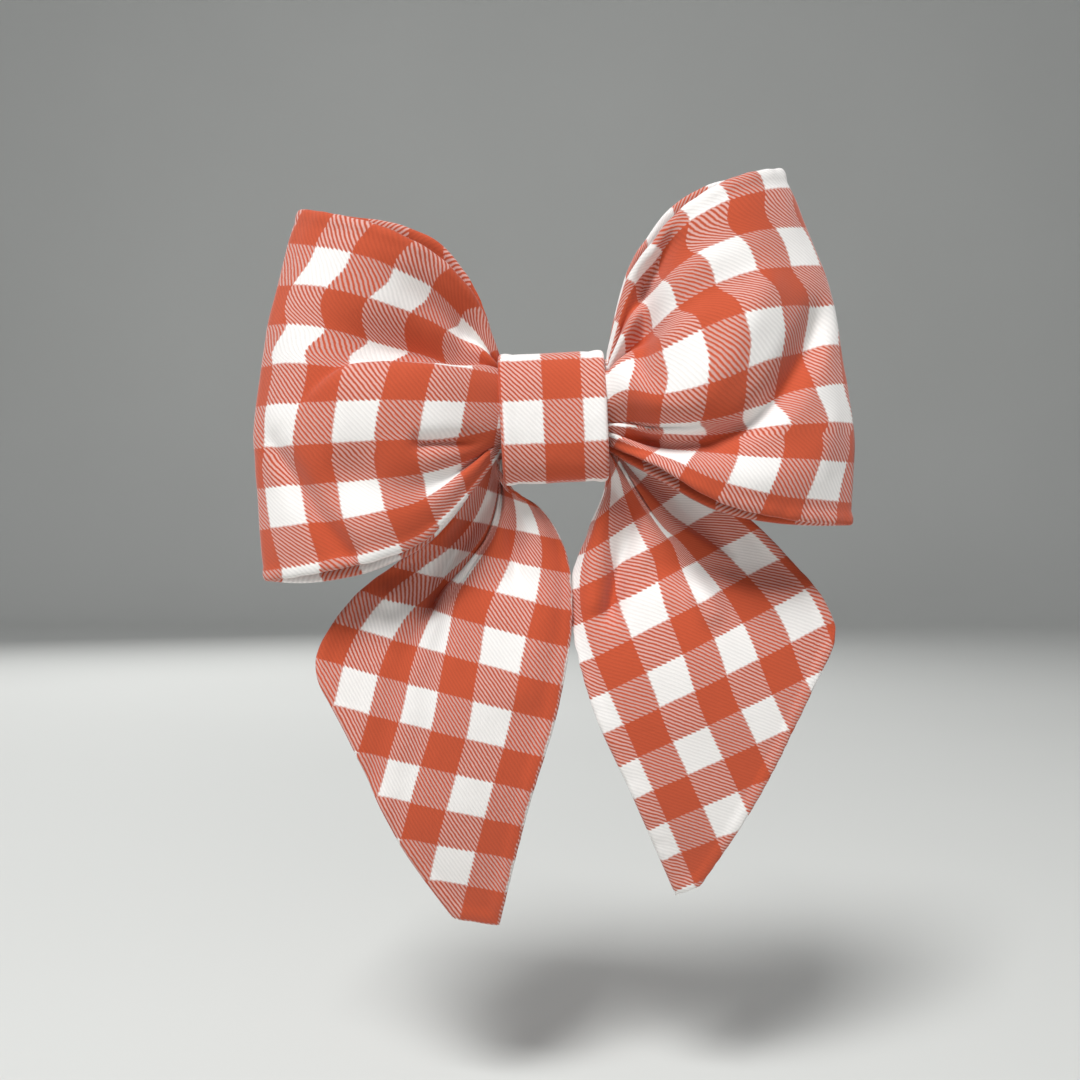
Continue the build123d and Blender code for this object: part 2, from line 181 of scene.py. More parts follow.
def thread_along(name, lines, radius, sides=6):
    """One mesh of round threads that follow lines of points, all in millimetres."""
    vertices, faces = [], []
    for line in lines:
        line = np.asarray(line, float)
        run = np.gradient(line, axis=0)
        run /= np.linalg.norm(run, axis=1, keepdims=True)
        start = len(vertices)
        for point, heading in zip(line, run):
            turn = Vector(heading).to_track_quat("Z", "Y")
            for side in range(sides):
                angle = 2 * pi * side / sides
                offset = turn @ Vector((cos(angle), sin(angle), 0)) * radius
                vertices.append((Vector(point) + offset) * MM)
        for ring in range(len(line) - 1):
            for side in range(sides):
                low = start + ring * sides
                after = (side + 1) % sides
                faces.append((low + side, low + after, low + sides + after, low + sides + side))
        faces.append([start + side for side in range(sides)][::-1])
        faces.append([start + (len(line) - 1) * sides + side for side in range(sides)])
    mesh = bpy.data.meshes.new(name)
    mesh.from_pydata(vertices, [], faces)
    mesh.shade_smooth()
    piece = bpy.data.objects.new(name, mesh)
    bpy.context.scene.collection.objects.link(piece)
    return piece


# ---- loops -------------------------------------------------------------------------------------

STRIP_WIDTH = 87.0
KNOT_X = 12.5  # the pleats leave the knot here
MID_Y = -12.6  # between a loop's front and its back
CREASE_Y = -14.6

LEFT_LOOP = dict(
    side=-1,
    top=(-56.7, 47.3), bottom=(-64.6, -36.7), belly=-66.8,
    top_open=([0, 0.09, 0.242, 0.495, 0.75, 1], [0, 0.31, 0.58, 0.775, 0.895, 1]),
    bottom_open=([0, 0.12, 0.29, 0.505, 0.75, 1], [0, 0.31, 0.65, 0.83, 0.925, 1]),
    front_pleats=(
        [0, 0.10, 0.21, 0.30, 0.38, 0.47, 0.55, 0.61, 0.68, 0.77, 0.86, 0.94, 1],
        [
            (-7.2, -12.2), (-5.0, -14.8), (-6.4, -11.6), (-4.6, -15.9), (-1.2, -17.6),
            (3.4, -18.1), (8.2, -17.6), (11.0, -15.2), (8.4, -11.8), (11.6, -13.9),
            (10.6, -11.2), (12.6, -12.6), (13.0, -11.2),
        ],
    ),
    back_rise=(6.0, -2.4),
    sag_power=2.0,
    brow=0.86,
    chin=0.72,
    weave_shift=(-1.1, CHECK - 2.6),
    weave_drift=([0, 0.42, 0.62, 0.83, 1], [0, 0, 1.2, -1.2, -3.0]),
)
RIGHT_LOOP = dict(
    side=1,
    top=(51.1, 56.7), bottom=(66.9, -24.1), belly=64.9,
    top_open=([0, 0.086, 0.259, 0.57, 0.78, 1], [0, 0.33, 0.595, 0.835, 0.925, 1]),
    bottom_open=([0, 0.204, 0.45, 0.697, 0.85, 1], [0, 0.32, 0.74, 0.93, 0.98, 1]),
    front_pleats=(
        [0, 0.10, 0.20, 0.29, 0.38, 0.46, 0.55, 0.64, 0.71, 0.79, 0.87, 0.94, 1],
        [
            (-5.4, -12.0), (-3.2, -14.6), (-4.4, -11.8), (-1.4, -15.2), (-2.2, -12.2),
            (2.2, -16.6), (6.6, -18.0), (10.4, -16.6), (8.6, -12.0), (11.8, -14.2),
            (10.8, -11.4), (12.9, -12.8), (13.2, -11.4),
        ],
    ),
    back_rise=(5.4, -0.8),
    sag_power=0.6,
    brow=0.80,
    chin=0.82,
    weave_shift=(3.6, CHECK - 15.3),
)
BACK_PLEATS = (
    [0, 0.12, 0.23, 0.34, 0.45, 0.56, 0.67, 0.78, 0.89, 1],
    [
        (-6.6, -9.7), (-2.2, -8.5), (-3.6, -10.2), (1.8, -8.4), (0.6, -10.3),
        (6.2, -8.4), (5.0, -10.3), (10.2, -8.5), (9.0, -10.0), (12.6, -9.4),
    ],
)
# A loop seen from above: shares of the way out to the crease, with depths.
LOOP_PLAN = [
    (0, -17.2), (0.10, -21.0), (0.27, -26.2), (0.46, -28.6), (0.66, -27.0), (0.84, -22.4),
    (0.95, -18.0), (1.0, CREASE_Y), (0.96, -11.6), (0.80, -8.9), (0.52, -8.8), (0.25, -9.0),
    (0, -9.3),
]
FRONT_AT_KNOT, BACK_AT_KNOT = -LOOP_PLAN[0][1], -LOOP_PLAN[-1][1]  # depths before any pleats
LOOP_SPAN = 54.0
CREASE_AT = 7  # the plan's point that is the crease
LOOP_ROWS = 150
CORE_ROWS = 6  # the rows of either strip that run through the knot
LEAN_LEFT, LEAN_RIGHT = 0.13, 0.09  # how far the cloth's grain leans across each loop
DRIFT_ROWS = 20  # the left loop's weave_drift builds up over these rows from the knot


def crease_line(loop, across):
    """The outer fold of a loop: X and Z at shares of the strip's width, from the bottom."""
    chord = mix(loop["bottom"][0], loop["top"][0], across)
    middle = (loop["bottom"][0] + loop["top"][0]) / 2
    x = chord + (loop["belly"] - middle) * 4 * across * (1 - across)
    return x, mix(loop["bottom"][1], loop["top"][1], across)


def valley(x, z, line, depth, width):
    """A trough of this depth and half-width that follows a line of X and Z points."""
    nearest = np.full(x.shape, 1e9)
    for (ax, az), (bx, bz) in zip(line, line[1:]):
        run = (bx - ax) ** 2 + (bz - az) ** 2
        share = np.clip(((x - ax) * (bx - ax) + (z - az) * (bz - az)) / run, 0, 1)
        nearest = np.minimum(nearest, np.hypot(x - mix(ax, bx, share), z - mix(az, bz, share)))
    return depth * np.exp(-((nearest / width) ** 2))


def left_folds(x, z):
    """How the left loop's front dips back and slips down from its plain puffed shape."""
    ridge = through([-80, -58, -53, -45, -38, -12, 0], [-6, -2, 3, 9.0, 10.2, 10.4, 10.4], x)
    above = z - ridge
    shelf = ease(above / 3.4) * (1 - 0.92 * ease((above - 3) / 27))
    fall_at = [-80, -58, -50, -40, -30, -20, -12, 0]
    fall = through(fall_at, [0, 0, 1.8, 4.6, 6.6, 7.2, 5.5, 5.5], x)
    dent = valley(x, z, [(-65, -3), (-57, -13.5), (-52, -22), (-45, -31)], 2.4, 2.8)
    hollow = 3.0 * np.exp(-(((x + 44) / 7) ** 2) - ((z + 13) / 6) ** 2)
    cheek = 3.6 * np.exp(-(((x + 38) / 9) ** 2) - ((z - 16) / 8) ** 2)
    crease = valley(x, z, [(-12, -4.4), (-20, -5.4), (-29, -6.2)], 3.0, 1.8)
    return shelf * fall + dent + hollow + cheek + crease, -0.42 * shelf * fall


def right_folds(x, z):
    """How the right loop's front dips back and slips down from its plain puffed shape."""
    fold_line = [(12, -3), (24, -5), (34, -4), (43.5, 1.5), (50, 9), (61, 23)]
    long_fold = valley(x, z, fold_line, 5.2, 4.2)
    swell = -valley(x, z, [(24, -14), (40, -16), (56, -12), (66, -2)], 2.0, 6.5)
    cheek = -valley(x, z, [(14, 6), (27, 8), (38, 17), (46, 28)], 1.8, 4.5)
    crook = valley(x, z, [(13, 12.5), (18.0, 15), (21.0, 22), (20.5, 31), (24, 39)], 6.0, 3.2)
    crease = valley(x, z, [(12, -1.8), (17, -2.6), (23, -3.0)], 3.0, 1.6)
    slip = -7.0 * np.exp(-(((x - 33) / 19) ** 2) - ((z - 10) / 11.5) ** 2)
    return long_fold + swell + cheek + crook + crease, slip


def loop_grid(loop, across):
    """One loop's middle surface, from its front at the knot round the crease to its back."""
    plan = np.array(LOOP_PLAN)
    scaled = plan * (LOOP_SPAN, 1)
    gaps = np.linalg.norm(np.diff(scaled, axis=0), axis=1)
    knots = np.concatenate(([0], np.cumsum(gaps)))
    place = np.linspace(0, knots[-1], LOOP_ROWS)
    out, depth = through(knots, plan, place).T
    back = ease((place - knots[CREASE_AT] + 5) / 10)[:, None]  # 0 in front, 1 behind
    out = np.clip(out, 0, 1.02)[:, None]
    depth = depth[:, None]
    across = across[None, :]

    crease_x, crease_z = crease_line(loop, across)
    front_z, front_y = through(*loop["front_pleats"], across[0]).T
    back_z, back_y = through(*BACK_PLEATS, across[0]).T
    knot_z = mix(front_z[None], back_z[None], back)
    bottom_open = through(*loop["bottom_open"], out[:, 0])[:, None]
    top_open = through(*loop["top_open"], out[:, 0])[:, None]
    opened = mix(bottom_open, top_open, ease(across * 1.1 - 0.05))
    x = mix(loop["side"] * KNOT_X, crease_x, out)
    z = mix(knot_z, crease_z, opened)

    # The back's edges run higher and lower than the front's.
    top_rise, bottom_rise = loop["back_rise"]
    bow_out = np.sin(pi * np.clip(out, 0, 1) ** 0.75) ** 0.8
    low_out = np.sin(pi * np.clip(out, 0, 1) ** loop["sag_power"]) ** 0.8
    z = z + back * bow_out * top_rise * ease(across * 3 - 2)
    z = z + back * low_out * bottom_rise * ease(1 - across * 3)

    # The front is fullest halfway up, and pleats into the knot.
    low = mix(loop["chin"], loop["brow"], ease(across * 2 - 0.5))
    crown = low + (1 - low) * np.sin(pi * across) ** 0.7
    crown = mix(1, crown, ease(out / 0.35) * (1 - back))
    y = MID_Y + (depth - MID_Y) * crown
    fade = (1 - np.clip(out, 0, 1)) ** 2.0
    y = y + (1 - back) * fade * (front_y[None] + FRONT_AT_KNOT)
    y = y + back * fade**1.5 * (back_y[None] + BACK_AT_KNOT)

    # Folds fade out at the knot, at the crease and at the top edge.
    folds = left_folds if loop["side"] < 0 else right_folds
    sink, slip = folds(x, z)
    rim = ease((1 - across) / 0.11)
    share = (1 - back) * ease(out / 0.2) * ease((1.0 - out) / 0.15) * rim
    return np.stack((x, y + share * sink, z + share * ease(across / 0.12) * slip), axis=-1)


def strip_points(across):
    """The whole loop strip's middle surface: back, left loop, knot, right loop and back."""
    left = loop_grid(LEFT_LOOP, across)[::-1]
    right = loop_grid(RIGHT_LOOP, across)
    share = np.linspace(0, 1, CORE_ROWS + 2)[1:-1, None, None]
    core = mix(left[-1][None], right[0][None], share)
    half = np.linspace(0, 1, CORE_ROWS)[:, None, None]
    meeting = mix(left[0], right[-1], 0.5)[None]
    left_end = mix(meeting, left[0][None], half)[:-1]
    right_end = mix(right[-1][None], meeting, half)[1:]
    return np.concatenate((left_end, left, core, right, right_end)), len(left_end)


def strip_map(points, loop_start, across):
    """Where each point of the loop strip lies on the woven cloth, in checks."""
    gaps = np.linalg.norm(np.diff(points, axis=0), axis=2)
    length = np.vstack((np.zeros(gaps.shape[1]), np.cumsum(gaps, axis=0)))
    left_knot = loop_start + LOOP_ROWS - 1
    right_knot = left_knot + CORE_ROWS + 1
    u = length - length[left_knot] + LEFT_LOOP["weave_shift"][0]
    u[right_knot:] = (length - length[right_knot])[right_knot:] + RIGHT_LOOP["weave_shift"][0]
    core = np.linspace(0, 1, CORE_ROWS + 2)[:, None]
    u[left_knot : right_knot + 1] = mix(u[left_knot], u[right_knot], core)
    shift = np.full(len(points), LEFT_LOOP["weave_shift"][1])
    shift[right_knot:] = RIGHT_LOOP["weave_shift"][1]
    shift[left_knot : right_knot + 1] = mix(shift[left_knot], shift[right_knot], core[:, 0])
    rows = np.arange(len(points))
    lean = mix(LEAN_LEFT, LEAN_RIGHT, ease((rows - left_knot) / (CORE_ROWS + 1)))
    u = u - lean[:, None] * (across[None, :] - 0.5) * STRIP_WIDTH
    left_share = ease((left_knot - rows) / DRIFT_ROWS)
    u = u - left_share[:, None] * through(*LEFT_LOOP["weave_drift"], across)[None, :]
    v = across[None, :] * STRIP_WIDTH + shift[:, None]
    return np.stack(np.broadcast_arrays(u, v), axis=-1) / CHECK


EDGE_ROLL = 0.95  # the radius of a turned edge
PRESSED = 0.14  # how much flatter a strip is pressed inside its seams
ALLOWANCE_HEIGHT = 0.50
ALLOWANCE_WIDTH = 2.1
ALLOWANCE_STEP = 1.1  # over this distance the allowance's edge fades out
PUCKER_HEIGHT = 0.11
PUCKER_LENGTH = 6.1
PUCKER_REACH = 3.2


def seam_height(edge, half=HALF_PLY):
    """Half the thickness of a turned edge at a distance from the edge, thicker where the
    seam's allowance is folded in."""
    roll = np.sqrt(1 - (1 - np.clip(edge / EDGE_ROLL, 0, 1)) ** 2)
    allowance = 1 - ease((edge - ALLOWANCE_WIDTH) / ALLOWANCE_STEP)
    return roll * (half - PRESSED + ALLOWANCE_HEIGHT * allowance)


def pucker(edge, along, phase):
    """Small waves beside a stitched edge, where the thread draws the cloth in."""
    wander = 1.7 * np.sin(along / 9.0 + phase)
    height = PUCKER_HEIGHT * np.sin(along * 2 * pi / PUCKER_LENGTH + phase + wander)
    return height * np.exp(-((edge / PUCKER_REACH) ** 2))


def skin(points, half, side, facing=None):
    """A ply's face: the middle surface moved out by half its thickness, on one side of it."""
    return points + side * half[..., None] * (normals(points) if facing is None else facing)


across_mm = edge_spaced(STRIP_WIDTH, 1.15)
across_share = across_mm / STRIP_WIDTH
strip, loop_start = strip_points(across_share)
cloth_place = strip_map(strip, loop_start, across_share)
strip_edge = np.minimum(across_mm, STRIP_WIDTH - across_mm)[None, :]
from_knot = ease((np.abs(strip[..., 0]) - 9.0) / 14.0)
along_mm = cloth_place[..., 0] * CHECK
rough = 0.42 * ripple(strip, 15.0, 1) + 0.09 * ripple(strip, 6.0, 2)
waves = pucker(strip_edge, along_mm, 0.6)
strip = strip + ((rough + waves) * from_knot)[..., None] * normals(strip)
half_ply = seam_height(strip_edge) * mix(0.72, 1.0, from_knot)

loop_outer = new_mesh("loop_outer_cloth", skin(strip, half_ply, 1), cloth_place)
thicken(loop_outer, FACING)
loop_lining = new_mesh("loop_lining_cloth", skin(strip, half_ply, -1), cloth_place, flip=True)
thicken(loop_lining, FACING)

loop_stiffener = new_mesh("loop_stiffener", strip[:, INSIDE_SEAMS], cloth_place[:, INSIDE_SEAMS])
thicken(loop_stiffener, STIFFENER)
loop_seam = thread_along(
    "loop_seam_stitches", [strip[:, SEAM_COLUMN], strip[:, -1 - SEAM_COLUMN]], STITCH_RADIUS
)

# ---- tails -------------------------------------------------------------------------------------

TAIL_WIDTH = 61.0
TAIL_LENGTH = 118.0
TAIL_ROWS = 110
LEFT_TAIL = dict(
    side=-1,
    inner=[
        (-12.4, -13.2), (-10.9, -15.4), (-2.8, -20.2), (2.7, -29.2), (4.4, -41.5),
        (1.5, -64.9), (-5.5, -89.1), (-12.8, -119.6),
    ],
    outer=[
        (-12.9, -2.4), (-23.6, -22.4), (-35.8, -32.1), (-47.6, -42.0), (-53.6, -51.0),
        (-57.4, -64.5), (-69.8, -108.8),
    ],
    tip=10.8,
    cut=50.0,
    folds=[
        ([(-13, -12), (-18.5, -22), (-24, -32), (-28, -42)], 5.2, 3.0),
        ([(-12.5, -14), (-9.5, -24), (-8.5, -36)], 2.4, 2.2),
        ([(-13, -8), (-26, -26), (-38, -39)], -2.2, 3.2),
        ([(-12, -15), (-4, -26), (-2, -44), (-6, -62)], -1.4, 4.0),
    ],
    weave_shift=(38.8, 42.0),
    weave_pull=1.09,
    curl=0.25,
)
RIGHT_TAIL = dict(
    side=1,
    inner=[
        (12.9, -11.0), (12.4, -15.2), (8.6, -24.6), (5.1, -36.5), (4.6, -45.0), (8.6, -64.9),
        (18.2, -86.7), (29.3, -112.3),
    ],
    outer=[
        (12.9, -2.4), (29.3, -12.2), (43.4, -20.5), (55.1, -31.6), (62.8, -41.5), (67.6, -53.5),
        (86.0, -88.5),
    ],
    tip=6.0,
    cut=44.0,
    folds=[
        ([(13, -12), (18.5, -21), (16.0, -32), (13.5, -44)], 4.6, 2.7),
        ([(13, -9), (22, -16), (31, -32), (36, -44)], -2.4, 3.2),
        ([(13, -7), (29, -18), (42, -31)], 3.4, 2.8),
        ([(12.6, -14), (10.5, -28), (9.5, -42)], -1.2, 2.4),
    ],
    weave_shift=(4.0, 33.8),
    weave_pull=1.03,
    curl=0.75,
)
# A tail seen from the side: lengths down it, with depths.
TAIL_HANG = ([0, 10, 26, 48, 72, 96, 118], [-6.5, -6.2, -5.2, -8.4, -8.8, -5.2, 1.2])
TAIL_FRONT_LIMIT = -6.6  # behind the loops it comes no further forward
TAIL_BELLY = 2.6  # how far forward the middle of a tail swells
PLEAT_PITCH, PLEAT_DEPTH = 11.0, 1.3  # the pleats where a tail is gathered
CURL_REACH, CURL_DEPTH = 4.5, 4.5  # how wide and how far back its inner edge curls
WEAVE_PULL_ACROSS = 1.07
HEEL = 3.5  # the radius of the corner where a tail's outer edge meets its cut
CRUSH_MIDDLE, CRUSH_REACH = 37.0, 20.0  # where across a tail its gathers lie at the knot
CRUSH_LIMIT = 0.96  # of the cloth in the middle of the gathers is taken up at most


def crush_zone(across):
    """1 in the middle of the gathers and 0 outside them."""
    reach = np.clip((across - CRUSH_MIDDLE) / CRUSH_REACH, -1, 1)
    return np.cos(reach * pi / 2) ** 2


def crushed_share(across, room, curl):
    """Where each point across a tail lies between its edges, as a share, and how hard it is
    gathered. The gathers take up most of the cloth there is no room for."""
    zone = crush_zone(across)
    spare = TAIL_WIDTH - room
    crush = np.clip(spare / CRUSH_REACH, 0, CRUSH_LIMIT)
    scale = 1 - crush * zone - curl * np.exp(-((across / 7) ** 2))
    gaps = (scale[:, 1:] + scale[:, :-1]) / 2 * np.diff(across, axis=1)
    place = np.concatenate((np.zeros((len(scale), 1)), np.cumsum(gaps, axis=1)), axis=1)
    return place / place[:, -1:], crush


def tail_grid(tail, across):
    """One tail's middle surface from the knot down, with each point's length down the cloth."""
    end = np.where(
        across < tail["tip"], TAIL_LENGTH,
        TAIL_LENGTH - tail["cut"] * (across - tail["tip"]) / (TAIL_WIDTH - tail["tip"]),
    )
    heel = np.clip((across - TAIL_WIDTH + HEEL) / HEEL, 0, 1)
    end = end - 1.3 * HEEL * (1 - np.sqrt(1 - heel**2 * 0.98))
    crowded = edge_spaced(TAIL_LENGTH, TAIL_LENGTH / TAIL_ROWS) / TAIL_LENGTH
    down = crowded[:, None] * end[None, :]
    inner = by_length(tail["inner"], down / TAIL_LENGTH)
    outer = by_length(tail["outer"], down / TAIL_LENGTH)
    curl = tail["curl"] * ease((74 - down) / 40)
    room = np.linalg.norm(outer - inner, axis=-1)
    share, crush = crushed_share(across[None, :], room, curl)
    flat = mix(inner, outer, share[..., None])
    x, z = flat[..., 0], flat[..., 1]
    y = through(*TAIL_HANG, down)
    y = y - TAIL_BELLY * np.sin(pi * share) * ease((down - 22) / 40)
    pleat = np.sin((across - CRUSH_MIDDLE) * 2 * pi / PLEAT_PITCH) * crush_zone(across)
    curled = np.exp(-((across / CURL_REACH) ** 2))
    y = y + PLEAT_DEPTH * pleat[None] * crush + CURL_DEPTH * curl * curled[None]
    for line, depth, width in tail["folds"]:
        y = y + valley(x, z, line, depth, width) * ease(down / 9) * ease((92 - down) / 60)
    behind_loops = ease((z + 42) / 10)
    y = mix(y, np.maximum(y, TAIL_FRONT_LIMIT), behind_loops)
    points = np.stack((x, y, z), axis=-1)
    end_gap = (end[None, :] - down) * TAIL_WIDTH / hypot(TAIL_WIDTH, tail["cut"])
    return points, down, np.maximum(end_gap, 0)


def tail_strip(across):
    """Both tails as one strip, from the left tip up through the knot and down to the right."""
    left, left_down, left_gap = (grid[::-1] for grid in tail_grid(LEFT_TAIL, across))
    right, right_down, right_gap = tail_grid(RIGHT_TAIL, across)
    share = np.linspace(0, 1, CORE_ROWS + 2)[1:-1]
    core = mix(left[-1][None], right[0][None], share[:, None, None])
    points = np.concatenate((left, core, right))
    far = np.full((CORE_ROWS, len(across)), 99.0)  # the core is nowhere near a cut
    gap = np.concatenate((left_gap, far, right_gap))
    spots = []
    for tail, down in ((LEFT_TAIL, left_down), (RIGHT_TAIL, right_down)):
        u = tail["side"] * across[None, :] * WEAVE_PULL_ACROSS + tail["weave_shift"][0]
        v = tail["weave_shift"][1] - down * tail["weave_pull"]
        spots.append(np.stack(np.broadcast_arrays(u, v), axis=-1))
    middle = mix(spots[0][-1][None], spots[1][0][None], share[:, None, None])
    return points, np.concatenate((spots[0], middle, spots[1])) / CHECK, gap


tail_mm = edge_spaced(TAIL_WIDTH, 1.1)
tails, tail_place, tail_gap = tail_strip(tail_mm)
tail_edge = np.minimum(np.minimum(tail_mm, TAIL_WIDTH - tail_mm)[None, :], tail_gap)
tail_free = ease((np.abs(tails[..., 0]) - 8.0) / 10.0) + ease((-tails[..., 2] - 14.0) / 12.0)
tail_free = np.clip(tail_free, 0, 1)
tail_rough = 0.45 * ripple(tails, 19.0, 5) + 0.08 * ripple(tails, 6.5, 6)
tail_waves = pucker(tail_edge, tail_place[..., 1] * CHECK + tail_place[..., 0] * CHECK, 2.1)
tails = tails + ((tail_rough + tail_waves) * tail_free)[..., None] * np.array([0, -1, 0])
tail_half = seam_height(tail_edge) * mix(0.8, 1.0, tail_free)
# Where the cloth is bunched at the knot its plies lie one behind another.
tail_facing = mix(np.array([0, -1, 0]), normals(tails), ease((-tails[..., 2:] - 24) / 14))
tail_facing /= np.linalg.norm(tail_facing, axis=-1, keepdims=True)

tail_front = new_mesh("tail_front_cloth", skin(tails, tail_half, 1, tail_facing), tail_place)
thicken(tail_front, FACING)
tail_back = new_mesh(
    "tail_back_cloth", skin(tails, tail_half, -1, tail_facing), tail_place, flip=True
)
thicken(tail_back, FACING)
tail_stiffener = new_mesh(
    "tail_stiffener",
    tails[INSIDE_SEAMS, INSIDE_SEAMS],
    tail_place[INSIDE_SEAMS, INSIDE_SEAMS],
)
thicken(tail_stiffener, STIFFENER)
tail_seam = thread_along(
    "tail_seam_stitches",
    [
        tails[SEAM_COLUMN:-SEAM_COLUMN, SEAM_COLUMN],
        tails[SEAM_COLUMN:-SEAM_COLUMN, -1 - SEAM_COLUMN],
        tails[SEAM_COLUMN, SEAM_COLUMN:-SEAM_COLUMN],
        tails[-1 - SEAM_COLUMN, SEAM_COLUMN:-SEAM_COLUMN],
    ],
    STITCH_RADIUS,
)

# ---- knot --------------------------------------------------------------------------------------

BAND_LOW, BAND_HIGH = node_box("knot_band_cover")
BAND_WIDTH = 24.2
BAND_TILT = radians(2.7)
BAND_HALF_DEPTH = (BAND_HIGH[1] - BAND_LOW[1]) / 2
BAND_HALF_HEIGHT = 15.1
BAND_RISE = 0.6
BAND_MID_Y = (BAND_HIGH[1] + BAND_LOW[1]) / 2
BAND_SQUARENESS = (3.3, 2.6, 2.15)  # the section's exponents behind, in front above and below
SEAM_ANGLE = radians(54)  # where the wrap closes, behind and above
LAP = 3.4  # how far the wrap's end laps over its start
LAP_RISE = 0.85
BAND_INSET = 0.8  # from the band's section to the middle of its folded tube
BAND_HALF_PLY = 0.72
BAND_CHECK = 9.0  # a check's width across the band
BAND_SHIFT = (2.3, -4.0)  # from a check's corner to the middle of the band's front, X and Z
STAY_INSET = 2.0
STAY_WIDTH = BAND_WIDTH - 4
STAY_THICKNESS = 0.5


def band_section(angle, inset):
    """The band's oval section at angles from straight back, as depth and height."""
    c, s = np.cos(angle), np.sin(angle)
    back, brow, chin = BAND_SQUARENESS
    power = 2 / np.where(c > 0, back, np.where(s > 0, brow, chin))
    depth = (BAND_HALF_DEPTH - inset) * np.sign(c) * np.abs(c) ** power
    height = (BAND_HALF_HEIGHT - inset) * np.sign(s) * np.abs(s) ** power
    return BAND_MID_Y + depth, height + BAND_RISE


def band_points(inset, width, laps):
    """The band's middle surface, round from its start to its lapped end, with lengths."""
    fine = np.linspace(0, 2 * pi, 2001) + SEAM_ANGLE
    depth, height = band_section(fine, inset)
    length = np.concatenate(([0], np.cumsum(np.hypot(np.diff(depth), np.diff(height)))))
    around = np.linspace(0, length[-1] + (LAP if laps else 0), 150)
    angle = np.interp(around % length[-1], length, fine)
    depth, height = band_section(angle, inset)
    lift = LAP_RISE * ease((around - length[-1] + 5) / 4) if laps else around * 0
    depth = depth + lift * 0.9
    height = height + lift * 0.35
    edge_mm = edge_spaced(width, 1.2, 5.0)
    x = edge_mm - width / 2
    drawn_in = 1 - 0.028 * np.exp(-((np.abs(x) - width / 2) / 3.0) ** 2)  # at both edges
    y = BAND_MID_Y + (depth[:, None] - BAND_MID_Y) * drawn_in
    z = height[:, None] * drawn_in
    x = np.broadcast_to(x, y.shape)
    turned = np.stack(
        (x * cos(BAND_TILT) - z * sin(BAND_TILT), y, x * sin(BAND_TILT) + z * cos(BAND_TILT)),
        axis=-1,
    )
    return turned, around, edge_mm, length[-1]


band, band_around, band_mm, band_length = band_points(BAND_INSET, BAND_WIDTH, True)
band_edge = np.minimum(band_mm, BAND_WIDTH - band_mm)[None, :]
band_end = np.minimum(band_around, band_around[-1] - band_around)[:, None]
band_edge = np.minimum(band_edge, band_end)
band_half = seam_height(band_edge, BAND_HALF_PLY)
band_rough = 0.16 * ripple(band, 9.0, 8) + 0.06 * ripple(band, 3.0, 9)
band = band + band_rough[..., None] * normals(band)
front_index = int(np.argmin(np.where(np.abs(band[:, 0, 2]) < 2, band[:, 0, 1], 99)))
middle_z = band[:, len(band_mm) // 2, 2]
rising = np.sign(middle_z[front_index + 2] - middle_z[front_index])
band_height = middle_z[front_index] + rising * (band_around - band_around[front_index])
band_v = band_height[:, None] + BAND_SHIFT[1] + CHECK
band_u = (band_mm - BAND_WIDTH / 2 + BAND_SHIFT[0])[None, :] * (CHECK / BAND_CHECK) + CHECK
band_place = np.stack(np.broadcast_arrays(band_u, band_v), axis=-1) / CHECK
out = skin(band, band_half, 1)
back_in = skin(band, band_half, -1)
tube = np.concatenate((out, back_in[:, ::-1]), axis=1)
tube_place = np.concatenate((band_place, band_place[:, ::-1]), axis=1)
knot_band = new_mesh(
    "knot_band_cloth", tube.transpose(1, 0, 2), tube_place.transpose(1, 0, 2), closed=True
)

stay = band_points(STAY_INSET, STAY_WIDTH, False)[0]
knot_stay = new_mesh("knot_band_stiffener", stay[:-1], closed=True)
thicken(knot_stay, STAY_THICKNESS)

GATHER_TURNS = 6
GATHER_PITCH = 0.7
GATHER_RADIUS = 0.3
GATHER_INSET = 2.9
winding = np.linspace(0, 2 * pi * GATHER_TURNS, 60 * GATHER_TURNS)
wound_y, wound_z = band_section(winding, GATHER_INSET)
wound_x = (winding / (2 * pi) - GATHER_TURNS / 2) * GATHER_PITCH - wound_z * sin(BAND_TILT)
wound = np.stack((wound_x, wound_y, wound_z), axis=-1)
gather = thread_along("gathering_thread", [wound], GATHER_RADIUS)

# ---- clip spring -------------------------------------------------------------------------------

SPRING_LOW, SPRING_HIGH = node_box("clip_spring")
PIN_LOW, PIN_HIGH = node_box("clip_pivot_pin")
PIVOT = (PIN_LOW + PIN_HIGH) / 2
WIRE = 0.35  # the spring's wire and its coil, as radii
COIL = 1.75
COIL_TURNS = 2.5
coil_half = (SPRING_HIGH[2] - SPRING_LOW[2]) / 2 - WIRE
turns = np.linspace(0, 2 * pi * COIL_TURNS, 90)
coil_x = PIVOT[0] - COIL * np.sin(turns)
coil_y = PIVOT[1] - COIL * np.cos(turns)
coil_z = np.linspace(-coil_half, coil_half, len(turns))
upper_leg = [
    (SPRING_HIGH[0] - 2.2, SPRING_LOW[1] + WIRE, -coil_half),
    (PIVOT[0] + 6, SPRING_LOW[1] + WIRE + 0.22, -coil_half),
    (PIVOT[0] + 2, PIVOT[1] - COIL - 0.03, -coil_half),
]
lower_leg = [
    (PIVOT[0] + 2, PIVOT[1] + COIL, coil_half),
    (PIVOT[0] + 4, PIVOT[1] + COIL, coil_half),
    (SPRING_HIGH[0] - 0.2, SPRING_HIGH[1] - WIRE, coil_half),
]
wire_line = np.concatenate((upper_leg, np.stack((coil_x, coil_y, coil_z), axis=-1), lower_leg))
spring = thread_along("clip_torsion_spring", [wire_line], WIRE, sides=12)

# ---- materials ---------------------------------------------------------------------------------


